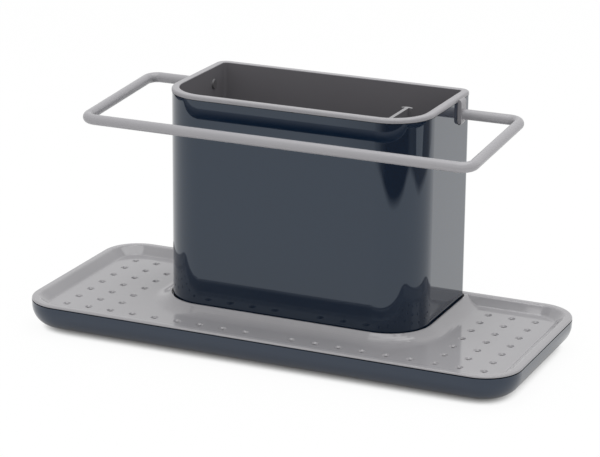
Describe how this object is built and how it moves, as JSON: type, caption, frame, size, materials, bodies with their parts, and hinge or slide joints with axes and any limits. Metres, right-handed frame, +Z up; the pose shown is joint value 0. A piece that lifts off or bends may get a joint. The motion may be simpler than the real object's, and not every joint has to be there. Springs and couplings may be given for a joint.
{
  "type": "kitchen sink caddy",
  "caption": "Kitchen sink caddy: a drip tray under a perforated drain deck, with a tall container, a lift-out inner bin, a divider and a rail for a dishcloth.",
  "frame": {"origin": "on the floor under the middle of the tray, between the feet", "axes": "+X along the tray to the viewer's right of its front, +Y to the back, +Z up; the rail's front bar faces -Y"},
  "size_m": [0.31, 0.1324, 0.1468],
  "materials": {
    "tray_plastic": "gloss, dark navy",
    "foot_rubber": "matt, dark grey",
    "deck_plastic": "satin, light warm grey",
    "container_plastic": "gloss, dark navy",
    "bin_plastic": "satin, dark grey",
    "rim_plastic": "satin, light grey",
    "rail_coat": "satin coat, light grey",
    "cap_plastic": "satin, light grey",
    "divider_plastic": "satin, dark grey"
  },
  "bodies": {
    "base": {"drip_tray": "tray_plastic", "foot_front_left": "foot_rubber", "foot_front_right": "foot_rubber", "foot_back_left": "foot_rubber", "foot_back_right": "foot_rubber"},
    "deck": {"drain_deck": "deck_plastic"},
    "container": {"container": "container_plastic"},
    "bin": {"inner_bin": "bin_plastic", "rim_frame": "rim_plastic", "towel_rail": "rail_coat", "rail_cap_left": "cap_plastic", "rail_cap_right": "cap_plastic"},
    "divider": {"divider": "divider_plastic"}
  },
  "joints": [
    {"name": "deck_lift", "type": "slide", "parent": "base", "child": "deck", "axis": [0, 0, 1], "range_m": [0, 0.06]},
    {"name": "container_lift", "type": "slide", "parent": "deck", "child": "container", "axis": [0, 0, 1], "range_m": [0, 0.06]},
    {"name": "bin_lift", "type": "slide", "parent": "container", "child": "bin", "axis": [0, 0, 1], "range_m": [0, 0.14]},
    {"name": "divider_lift", "type": "slide", "parent": "bin", "child": "divider", "axis": [0, 0, 1], "range_m": [0, 0.13]}
  ]
}
